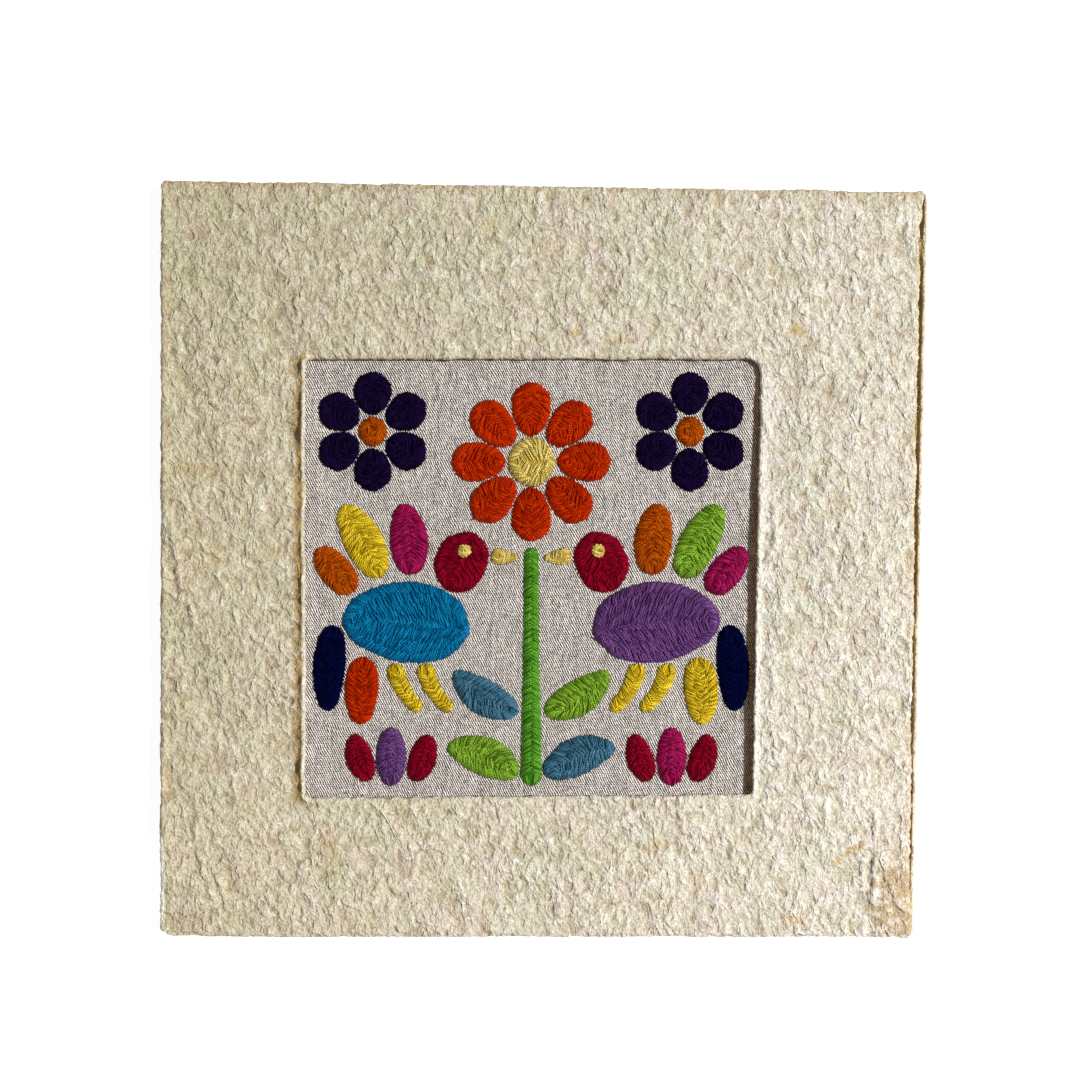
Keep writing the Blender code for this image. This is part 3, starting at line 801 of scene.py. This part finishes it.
layout = {
    "middle": (-4.2, -6.0),
    # name, petal thread, heart thread, x, y, petals, petal length, heart width, root, middle and tip width
    "flowers": (
        ("bloom", "red_orange", "gold", 0.0, 38.5, 8, 17.6, 15.2, 4.4, 12.7, 8.6),
        ("daisy_right", "indigo", "orange", 52.5, 48.5, 6, 14.0, 9.2, 4.6, 12.2, 7.6),
        ("daisy_left", "indigo", "orange", -52.5, 48.5, 6, 14.0, 9.2, 4.6, 12.2, 7.6),
    ),
    "petalClearance": 1.0,
    "stem": ("stem", "green", 0.0, -68.5, 90, 0, 78.5, 7.0, 5.4, 4.6),
    # name, right thread, left thread, x, y, heading, bend, length, root, middle and tip width
    "pairs": (
        ("body", "purple", "turquoise", 62.5, -14.5, 175, 20, 42.0, 9.0, 26.5, 13.0),
        ("head", "crimson", "crimson", 28.2, -3.6, 124, -20, 20.5, 11.0, 17.0, 11.0),
        ("beak", "gold", "gold", 13.2, 7.6, 192, -14, 8.8, 6.4, 4.6, 1.4),
        ("eye", "gold", "gold", 24.4, 9.0, 180, 0, 4.4, 3.8, 4.4, 3.8),
        ("wing_1", "orange", "magenta", 40.6, 1.2, 98, -28, 23.5, 6.5, 12.4, 5.0),
        ("wing_2", "lime", "yellow", 50.0, 0.3, 68, -12, 26.5, 6.5, 12.4, 5.0),
        ("wing_3", "magenta", "orange", 58.6, -4.4, 46, 8, 18.5, 6.5, 10.5, 5.0),
        ("tail_1", "navy", "navy", 65.4, -15.8, -82, -8, 28.0, 6.0, 10.5, 4.5),
        ("tail_2", "yellow", "red_orange", 55.2, -26.3, -82, -10, 22.0, 6.5, 11.0, 5.0),
        ("leg_1", "yellow", "yellow", 35.4, -28.4, -98, -44, 18.0, 6.2, 5.2, 4.0),
        ("leg_2", "yellow", "yellow", 45.4, -28.4, -98, -44, 18.0, 6.2, 5.2, 4.0),
        ("mid_leaf", "lime", "slate", 4.4, -44.0, 12, 40, 25.0, 4.4, 11.5, 3.0),
        ("low_leaf", "slate", "lime", 4.9, -65.5, 42, -40, 25.0, 4.4, 12.5, 3.0),
        ("bud", "magenta", "purple", 46.4, -68.6, 90, 0, 19.0, 4.0, 10.0, 4.0),
        ("bud_in", "crimson", "crimson", 39.6, -66.8, 126, -34, 16.0, 4.0, 9.0, 3.4),
        ("bud_out", "crimson", "crimson", 53.2, -66.8, 54, 34, 16.0, 4.0, 9.0, 3.4),
    ),
}


def allFields():
    fields = []
    for name, thread, heart, x, y, petals, length, wide, root, middle, tip in layout["flowers"]:
        for i in range(petals):
            heading = 90 + 360 * i / petals
            turn = math.radians(heading)
            far = wide / 2 + layout["petalClearance"]
            start = (x + far * math.cos(turn), y + far * math.sin(turn))
            fields.append((f"{name}_{i + 1}", thread, start, heading, 0, length, (root, middle, tip)))
        widths = (0.95 * wide, 1.05 * wide, 0.95 * wide)
        fields.append((f"{name}_heart", heart, (x - wide / 2, y), 0, 0, wide, widths))
    name, thread, x, y, heading, bend, length, *widths = layout["stem"]
    fields.append((name, thread, (x, y), heading, bend, length, widths))
    for name, right, left, x, y, heading, bend, length, *widths in layout["pairs"]:
        fields.append((f"{name}_right", right, (x, y), heading, bend, length, widths))
        fields.append((f"{name}_left", left, (-x, y), 180 - heading, -bend, length, widths))
    return fields


stitching = {
    # thread: radius, sides of its tube, how flat it lies
    "radius": 0.26,
    "sides": 5,
    "flat": 0.88,
    # stitches: spacing along an edge, length, slant in degrees, how far the two sides overlap
    "pitch": 0.47,
    "stitch": 4.2,
    "slant": 27.0,
    "overlap": 0.7,
    # spread of the slant in degrees at the edge and further in, of the lengths, heights and thicknesses
    "slantSpread": (7, 10),
    "lengths": (0.8, 1.15),
    "liftSpread": 0.1,
    "thicknesses": (0.88, 1.1),
    # how far a stitch may start outside its field, at most and as a share of the half width
    "outside": (0.5, 0.13),
    # fields shorter than this slant less
    "shortField": 6.0,
    # the padding slopes up over this width
    "slope": 3.0,
    # the thread's finish: roughness, twist in radians a millimetre, and what makes its tone
    "roughness": 0.36,
    "twist": 7.4,
    "toneShare": 0.75,
    "fuzzShare": 0.35,
    "shine": {"dark": 0.04, "bright": 0.75},
    # along a stitch: how far, how much it rises, how thick it is
    "arch": ((0.0, -0.36, 0.6), (0.13, 0.0, 1.0), (0.5, 0.1, 1.08), (0.87, 0.0, 1.0), (1.0, -0.3, 0.55)),
    # low base and rise of the padding: default, then the fields that differ
    "rise": {"default": (0.0, 0.62), "head": (0.0, 0.42), "eye": (0.85, 0.1)},
    # dark and light of each thread, linear
    "threads": {
        "crimson": ((0.09, 0.0005, 0.005), (0.27, 0.002, 0.02)),
        "gold": ((0.32, 0.19, 0.008), (1.0, 0.82, 0.26)),
        "green": ((0.018, 0.1, 0.003), (0.15, 0.44, 0.04)),
        "indigo": ((0.003, 0.001, 0.011), (0.012, 0.005, 0.04)),
        "lime": ((0.05, 0.12, 0.003), (0.31, 0.55, 0.05)),
        "magenta": ((0.11, 0.001, 0.02), (0.43, 0.012, 0.115)),
        "navy": ((0.0008, 0.001, 0.012), (0.002, 0.004, 0.05)),
        "orange": ((0.24, 0.026, 0.0006), (0.54, 0.105, 0.002)),
        "purple": ((0.045, 0.012, 0.065), (0.16, 0.065, 0.23)),
        "red_orange": ((0.27, 0.006, 0.0003), (0.61, 0.04, 0.001)),
        "slate": ((0.006, 0.04, 0.062), (0.085, 0.23, 0.36)),
        "turquoise": ((0.001, 0.07, 0.17), (0.005, 0.24, 0.51)),
        "yellow": ((0.3, 0.17, 0.0005), (1.0, 0.77, 0.04)),
    },
}


def makeThread(name, dark, light):
    material, shader = newMaterial(f"{name} thread", stitching["roughness"])
    strand = addNode(material, "ShaderNodeUVMap", uv_map="strand").outputs[0]
    parts = addNode(material, "ShaderNodeSeparateXYZ", {0: strand}).outputs
    # two plies wind round each other along the thread
    turn = plus(material, times(material, parts[1], 4 * math.pi),
                times(material, parts[0], stitching["twist"]))
    ply = maths(material, "SINE", turn)
    vary = plus(material, times(material, attribute(material, "tone"), stitching["toneShare"]),
                times(material, grain(material, (0.3, 0.3, 0.3)), stitching["fuzzShare"]))
    colour = shade(material, vary, 0.1, 0.9, (*dark, 1.0), (*light, 1.0))
    # painted shade in the grooves between the plies
    colour = shade(material, ply, -0.2, -1.0, colour, (*[part * 0.4 for part in dark], 1.0))
    joinTo(material, colour, shader, "Base Color")
    normal = bump(material, ply, 0.05, 0.8)
    normal = bump(material, grain(material, (0.12, 0.12, 0.12)), 0.05, 0.6, normal)
    joinTo(material, normal, shader, "Normal")
    # dark threads shine less, so that they stay dark
    shine = stitching["shine"]["dark" if max(light) < 0.1 else "bright"]
    shader.inputs["Specular IOR Level"].default_value = shine
    shader.inputs["Specular Tint"].default_value = (*[part / max(light) for part in light], 1.0)
    return material


class Field:
    # the curved middle line and half width of a stitched field

    def __init__(self, start, heading, bend, length, widths):
        root, middle, tip = widths
        self.length = length
        self.s = length * (1 - np.cos(np.linspace(0, math.pi, 241))) / 2
        share = self.s / length
        self.way = np.radians(heading + bend * share)
        mid = (self.way[1:] + self.way[:-1]) / 2
        steps = np.diff(self.s)
        x = start[0] + np.concatenate(([0.0], np.cumsum(steps * np.cos(mid))))
        y = start[1] + np.concatenate(([0.0], np.cumsum(steps * np.sin(mid))))
        self.x, self.y = x + layout["middle"][0], y + layout["middle"][1]
        # a parabola through the three widths, closed round at both ends
        half = (2 * share - 1) * (share - 1) * root + 4 * share * (1 - share) * middle
        half = (half + share * (2 * share - 1) * tip) / 2
        for fromEnd, rounding in ((self.s, root / 2), (length - self.s, tip / 2)):
            half = half * np.sqrt(1 - np.clip(1 - fromEnd / rounding, 0, 1) ** 2)
        self.half = half

    def halfAt(self, s):
        return np.interp(s, self.s, self.half)

    def place(self, s, l):
        # world place of a distance along and a distance to the left, in millimetres
        inside = np.clip(s, 0, self.length)
        way = np.interp(inside, self.s, self.way)
        x = np.interp(inside, self.s, self.x) + (s - inside) * np.cos(way) - l * np.sin(way)
        y = np.interp(inside, self.s, self.y) + (s - inside) * np.sin(way) + l * np.cos(way)
        return x, y

    def depth(self, s, l):
        # about how far a place is inside the field's edge
        sideways = self.halfAt(s) - np.abs(l)
        ends = np.minimum(s, self.length - s) + 0.3
        return np.maximum(0.0, np.minimum(sideways, ends))

    def slope(self, s, l):
        # share of the padding's height at a place
        return np.sin(np.clip(self.depth(s, l) / stitching["slope"], 0, 1) * math.pi / 2)


def edgeStarts(field, side, pitch, draw):
    # places along one edge, evenly spaced, with the way straight in
    l = side * field.half
    steps = np.hypot(np.diff(field.s), np.diff(l))
    run = np.concatenate(([0.0], np.cumsum(steps)))
    count = max(3, int(run[-1] / pitch))
    at = (np.arange(count) + 0.5 + draw.uniform(-0.25, 0.25, count)) * run[-1] / count
    startS, startL = np.interp(at, run, field.s), np.interp(at, run, l)
    ahead = np.stack((np.interp(at + 0.2, run, field.s) - np.interp(at - 0.2, run, field.s),
                      np.interp(at + 0.2, run, l) - np.interp(at - 0.2, run, l)), axis=1)
    ahead /= np.linalg.norm(ahead, axis=1, keepdims=True)
    inward = np.stack((ahead[:, 1], -ahead[:, 0]), axis=1) * side
    return startS, startL, inward


def stitchEnds(field, draw):
    # start and end of every stitch, as distances along and across the field
    long, overlap = stitching["stitch"], stitching["overlap"]
    # a small field's stitches lean less and stay closer to its edge
    slant = stitching["slant"] * min(1.0, field.length / stitching["shortField"])
    most, shareOut = stitching["outside"]
    farthestOut = min(most, shareOut * field.half.max())
    edgeSpread, rowSpread = stitching["slantSpread"]
    starts, ends = [], []
    for side in (1, -1):
        s, l, inward = edgeStarts(field, side, stitching["pitch"], draw)
        lean = np.radians(slant + draw.normal(0, edgeSpread, len(s))) * side
        way = np.stack((inward[:, 0] * np.cos(lean) - inward[:, 1] * np.sin(lean),
                        inward[:, 0] * np.sin(lean) + inward[:, 1] * np.cos(lean)), axis=1)
        reach = long * draw.uniform(*stitching["lengths"], len(s))
        crossing = side * (l + way[:, 1] * reach)
        limit = -overlap * draw.uniform(0.2, 1.2, len(s))
        tooFar = crossing < limit
        toSpine = (side * l - limit) / np.maximum(1e-3, -side * way[:, 1])
        reach = np.where(tooFar, np.minimum(reach, toSpine), reach)
        over = draw.uniform(-0.05, farthestOut, len(s))
        starts.append(np.stack((s - way[:, 0] * over, l - way[:, 1] * over), axis=1))
        ends.append(np.stack((s + way[:, 0] * reach, l + way[:, 1] * reach), axis=1))
        # rows further in, where the field is too wide for one stitch
        row = 1
        while row * long * 0.95 < field.half.max() - 0.3:
            count = int(field.length / stitching["pitch"])
            s = (np.arange(count) + 0.5 + draw.uniform(-0.3, 0.3, count)) * field.length / count
            half = field.halfAt(s)
            near = row * long * 0.93 - draw.uniform(0.2, 1.6, count)
            keep = (half > near + 0.6) & (s > row * long * 0.6) & (s < field.length - row * long * 0.6)
            s, half, near = s[keep], half[keep], near[keep]
            far = np.minimum(near + long * draw.uniform(0.85, 1.2, len(s)), half + overlap)
            lean = np.radians(stitching["slant"] + draw.normal(0, rowSpread, len(s)))
            shift = np.tan(lean) * (far - near)
            starts.append(np.stack((s, side * (half - near)), axis=1))
            ends.append(np.stack((s + shift, side * (half - far)), axis=1))
            row += 1
    return np.concatenate(starts), np.concatenate(ends)


def tubeMesh(name, along, thick, sides, flat=1.0):
    # many like tubes as one mesh, from their middle lines and how thick each is on the way
    count, rings = along.shape[:2]
    tangent = np.gradient(along, axis=1)
    tangent /= np.linalg.norm(tangent, axis=2, keepdims=True)
    sideways = np.stack((-tangent[..., 1], tangent[..., 0] + 1e-6, np.zeros((count, rings))), axis=2)
    sideways /= np.linalg.norm(sideways, axis=2, keepdims=True)
    upwards = np.cross(tangent, sideways) * flat
    around = np.arange(sides)[:, None] / sides * 2 * math.pi
    ringShape = sideways[:, :, None, :] * np.cos(around) + upwards[:, :, None, :] * np.sin(around)
    points = along[:, :, None, :] + ringShape * thick[:, :, None, None]
    # faces of one tube, then the same for each
    ring, corner = np.meshgrid(np.arange(rings - 1), np.arange(sides), indexing="ij")
    nextCorner = (corner + 1) % sides
    quads = np.stack((ring * sides + corner, ring * sides + nextCorner,
                      (ring + 1) * sides + nextCorner, (ring + 1) * sides + corner), axis=-1).reshape(-1, 4)
    caps = np.array((np.arange(sides)[::-1], (rings - 1) * sides + np.arange(sides)))
    offset = (np.arange(count) * rings * sides)[:, None, None]
    faces = (quads + offset).reshape(-1, 4).tolist() + (caps + offset).reshape(-1, sides).tolist()
    mesh = bpy.data.meshes.new(name)
    mesh.from_pydata(points.reshape(-1, 3).tolist(), [], faces)
    # the strand map runs along each tube in millimetres and once round it
    steps = np.linalg.norm(np.diff(along, axis=1), axis=2)
    run = np.concatenate((np.zeros((count, 1)), np.cumsum(steps, axis=1)), axis=1)
    u = np.stack((run[:, ring], run[:, ring], run[:, ring + 1], run[:, ring + 1]), axis=-1).reshape(count, -1)
    v = np.stack((corner, corner + 1, corner + 1, corner), axis=-1).reshape(-1) / sides
    uv = np.stack((u, np.broadcast_to(v, u.shape)), axis=-1).reshape(-1, 2)
    uv = np.concatenate((uv, np.zeros((count * 2 * sides, 2))))
    mesh.uv_layers.new(name="strand").data.foreach_set("uv", uv.ravel())
    return mesh


def stitchMesh(name, field, base, rise, draw):
    # every stitch is a short bowed tube
    starts, ends = stitchEnds(field, draw)
    count = len(starts)
    arch = np.array(stitching["arch"])
    share = arch[:, 0]
    s = starts[:, :1] + (ends[:, :1] - starts[:, :1]) * share
    l = starts[:, 1:] + (ends[:, 1:] - starts[:, 1:]) * share
    x, y = field.place(s, l)
    lift = draw.normal(0, stitching["liftSpread"], (count, 1))
    z = muslinCloth["top"] + base + 0.2 + rise * field.slope(s, l) + arch[:, 1] + lift
    thick = stitching["radius"] * arch[:, 2][None, :] * draw.uniform(*stitching["thicknesses"], (count, 1))
    mesh = tubeMesh(name, np.stack((x, y, z), axis=2), thick, stitching["sides"], stitching["flat"])
    tone = mesh.attributes.new("tone", "FLOAT", "POINT")
    tone.data.foreach_set("value", np.repeat(draw.uniform(0, 1, count), len(arch) * stitching["sides"]))
    return mesh, count


def addPadding(bm, field, base, rise):
    # domed filling under the stitches, so that no cloth shows between them
    long = max(6, round(field.length / 1.3))
    fresh = bmesh.ops.create_grid(bm, x_segments=long, y_segments=8, size=1.0)["verts"]
    for vert in fresh:
        s = 0.15 + (field.length - 0.3) * (vert.co.x + 1) / 2
        l = vert.co.y * max(0.05, field.halfAt(s) - 0.12)
        x, y = field.place(s, l)
        vert.co = (x, y, muslinCloth["top"] + base + rise * field.slope(s, l))
    faces = list({face for vert in fresh for face in vert.link_faces})
    under = bmesh.ops.extrude_face_region(bm, geom=faces)["geom"]
    lower = {part for part in under if isinstance(part, bmesh.types.BMVert)}
    for vert in lower:
        vert.co.z = muslinCloth["top"] + base - 0.15
    shell = {face for vert in list(lower) + fresh for face in vert.link_faces}
    bmesh.ops.recalc_face_normals(bm, faces=list(shell))


threadMaterials = {name: makeThread(name, *tones) for name, tones in stitching["threads"].items()}
stitchTotal = 0
for number, (name, thread, start, heading, bend, length, widths) in enumerate(allFields()):
    field = Field(start, heading, bend, length, widths)
    base, rise = stitching["rise"].get(name.split("_")[0], stitching["rise"]["default"])
    draw = np.random.default_rng(500 + number)
    stitches, count = stitchMesh(name, field, base, rise, draw)
    stitchTotal += count
    bm = bmesh.new()
    bm.from_mesh(stitches)
    bpy.data.meshes.remove(stitches)
    addPadding(bm, field, base, rise)
    finishPiece(f"{name}_stitches", bm, threadMaterials[thread], name)
print("embroidery:", stitchTotal, "stitches")


# Loose bark fibres on the paper's edges, and one long one that crosses the lip

looseFibres = {
    "colour": (0.86, 0.82, 0.72, 1.0),
    "shadow": (0.62, 0.54, 0.4, 1.0),
    "roughness": 0.7,
    "strand": ((-62.6, -63.6), (-61.9, -67.5), (-61.5, -71.5), (-61.0, -75.5), (-58.7, -78.6), (-55.6, -80.6),
               (-53.0, -83.0), (-50.8, -86.5), (-49.0, -90.2), (-47.4, -93.8)),
    "strandRadius": 0.17,
    "strandSteps": 90,
    # along the strand: how far, how thick
    "strandTaper": ((0, 0.3), (0.08, 1), (0.9, 0.8), (1, 0.25)),
    # hairs on each stretch: start, end, way out in degrees, how many
    "stretches": (
        ((-78.9, 62), (-78.9, -75), 0, 190), ((-74, 66.5), (66, 66.5), -90, 90),
        ((-74, -78.7), (66, -77.7), 90, 90), ((71.7, 58), (69.0, -73), 180, 90),
        ((123.6, 119), (118.9, -120), 0, 190), ((-125.8, 120), (-126.0, -120), 180, 60),
    ),
    "hairRadius": 0.055,
    "hairLength": (0.6, 2.0),
    # along a hair: how far, how thick
    "hairTaper": ((0.0, 1.2), (0.35, 1.0), (0.7, 0.8), (1.0, 0.35)),
    # how much the hairs' ways differ, in degrees
    "hairSpread": 48.0,
}


def makeFibre():
    material, shader = newMaterial("loose fibre", looseFibres["roughness"])
    patches = grain(material, (1.2, 1.2, 1.2))
    colour = shade(material, patches, 0.35, 0.6, looseFibres["shadow"], looseFibres["colour"])
    joinTo(material, colour, shader, "Base Color")
    joinTo(material, bump(material, grain(material, (0.2, 0.2, 0.2)), 0.06, 0.5), shader, "Normal")
    return material


def surfaceHeight(trees, x, y):
    # height of what lies at a place, in millimetres
    heights = [0.0]
    for tree in trees:
        place = tree.ray_cast(Vector((x * mm, y * mm, 0.05)), Vector((0, 0, -1)))[0]
        if place:
            heights.append(place.z / mm)
    return max(heights)


def smoothLine(corners, steps):
    # a soft curve through a row of places
    at = np.linspace(0, len(corners) - 1, steps)
    row = np.array(corners, dtype=float)
    near = np.clip(np.arange(-1, 3)[:, None] + at.astype(int), 0, len(corners) - 1)
    t = (at - at.astype(int))[:, None]
    a, b, c, d = row[near]
    return 0.5 * (2 * b + (c - a) * t + (2 * a - 5 * b + 4 * c - d) * t ** 2
                  + (3 * b - a - 3 * c + d) * t ** 3)


def buildFibres(material):
    trees = []
    for piece in (mount, backing, muslin):
        bm = bmesh.new()
        bm.from_mesh(piece.data)
        trees.append(BVHTree.FromBMesh(bm))
        bm.free()
    steps = looseFibres["strandSteps"]
    line = smoothLine(looseFibres["strand"], steps)
    heights = np.array([surfaceHeight(trees, x, y) for x, y in line])
    smooth = np.convolve(np.pad(heights, 3, mode="edge"), np.ones(7) / 7, mode="valid")
    z = np.maximum(heights, smooth) + looseFibres["strandRadius"]
    along = np.concatenate((line, z[:, None]), axis=1)[None]
    taper = follow(looseFibres["strandTaper"], np.linspace(0, 1, steps)) * looseFibres["strandRadius"]
    strand = tubeMesh("strand", along, taper[None], 6)

    draw = np.random.default_rng(77)
    share, tapering = np.array(looseFibres["hairTaper"]).T
    lines = []
    for start, end, heading, count in looseFibres["stretches"]:
        for spot in draw.uniform(0, 1, count):
            way = math.radians(heading + draw.normal(0, looseFibres["hairSpread"]))
            length = draw.uniform(*looseFibres["hairLength"])
            # rooted a little way in from the edge
            x = lerp(start[0], end[0], spot) - 0.5 * math.cos(math.radians(heading)) + draw.normal(0, 0.2)
            y = lerp(start[1], end[1], spot) - 0.5 * math.sin(math.radians(heading)) + draw.normal(0, 0.2)
            turns = way + draw.normal(0, 0.5) * share
            reach = length * share
            rise = draw.uniform(0.1, 0.5) * np.sin(share * math.pi) - draw.uniform(0.0, 0.5) * share ** 2
            lines.append(np.stack((x + reach * np.cos(turns), y + reach * np.sin(turns),
                                   surfaceHeight(trees, x, y) + rise), axis=1))
    thick = looseFibres["hairRadius"] * tapering[None] * draw.uniform(0.7, 1.3, (len(lines), 1))
    hairs = tubeMesh("hairs", np.array(lines), thick, 3)
    bm = bmesh.new()
    for part in (strand, hairs):
        bm.from_mesh(part)
        bpy.data.meshes.remove(part)
    return finishPiece("loose_fibres", bm, material, None)


fibres = buildFibres(makeFibre())
print("loose fibres:", len(fibres.data.polygons), "faces")


# Floor, light and camera

studio = {
    "floor": (0.3, 0.3, 0.3, 1.0),
    "floorSize": 30.0,
    # the floor glows, so that the part's shadow hardly shows on it
    "floorGlow": 0.9,
    "key": {"from": (1.93, 0.24, 2.17), "size": 0.26, "power": 112.0, "colour": (1.0, 0.98, 0.94)},
    "sky": (1.0, 0.97, 0.91, 1.0),
    "skyStrength": 0.24,
    # camera's place, the height that it is set for and the width that it sees there, in millimetres
    "eye": (-1.3, 6.6, 505.5),
    "viewHeight": 5.5,
    "viewWidth": 355.3,
}


def buildStudio():
    bm = bmesh.new()
    bmesh.ops.create_grid(bm, x_segments=1, y_segments=1, size=studio["floorSize"])
    mesh = bpy.data.meshes.new("floor")
    bm.to_mesh(mesh)
    bm.free()
    material, shader = newMaterial("floor", 0.9)
    shader.inputs["Base Color"].default_value = studio["floor"]
    shader.inputs["Emission Color"].default_value = (1.0, 1.0, 1.0, 1.0)
    shader.inputs["Emission Strength"].default_value = studio["floorGlow"]
    mesh.materials.append(material)
    floor = bpy.data.objects.new("floor", mesh)
    bpy.context.collection.objects.link(floor)

    key = studio["key"]
    lamp = bpy.data.lights.new("key light", "AREA")
    lamp.size = key["size"]
    lamp.energy = key["power"]
    lamp.color = key["colour"]
    lampObject = bpy.data.objects.new("key light", lamp)
    lampObject.location = key["from"]
    lampObject.rotation_euler = (-Vector(key["from"])).to_track_quat("-Z", "Y").to_euler()
    bpy.context.collection.objects.link(lampObject)

    world = bpy.data.worlds.new("soft sky")
    world.use_nodes = True
    world.node_tree.nodes["Background"].inputs[0].default_value = studio["sky"]
    world.node_tree.nodes["Background"].inputs[1].default_value = studio["skyStrength"]
    bpy.context.scene.world = world
    bpy.context.scene.view_settings.view_transform = "Standard"


def buildCamera():
    camera = bpy.data.cameras.new("camera")
    x, y, z = studio["eye"]
    camera.sensor_width = 36.0
    camera.lens = camera.sensor_width * (z - studio["viewHeight"]) / studio["viewWidth"]
    camera.clip_start = 0.01
    holder = bpy.data.objects.new("camera", camera)
    holder.location = (x * mm, y * mm, z * mm)
    bpy.context.collection.objects.link(holder)
    bpy.context.scene.camera = holder


buildStudio()
buildCamera()
print("studio ready")
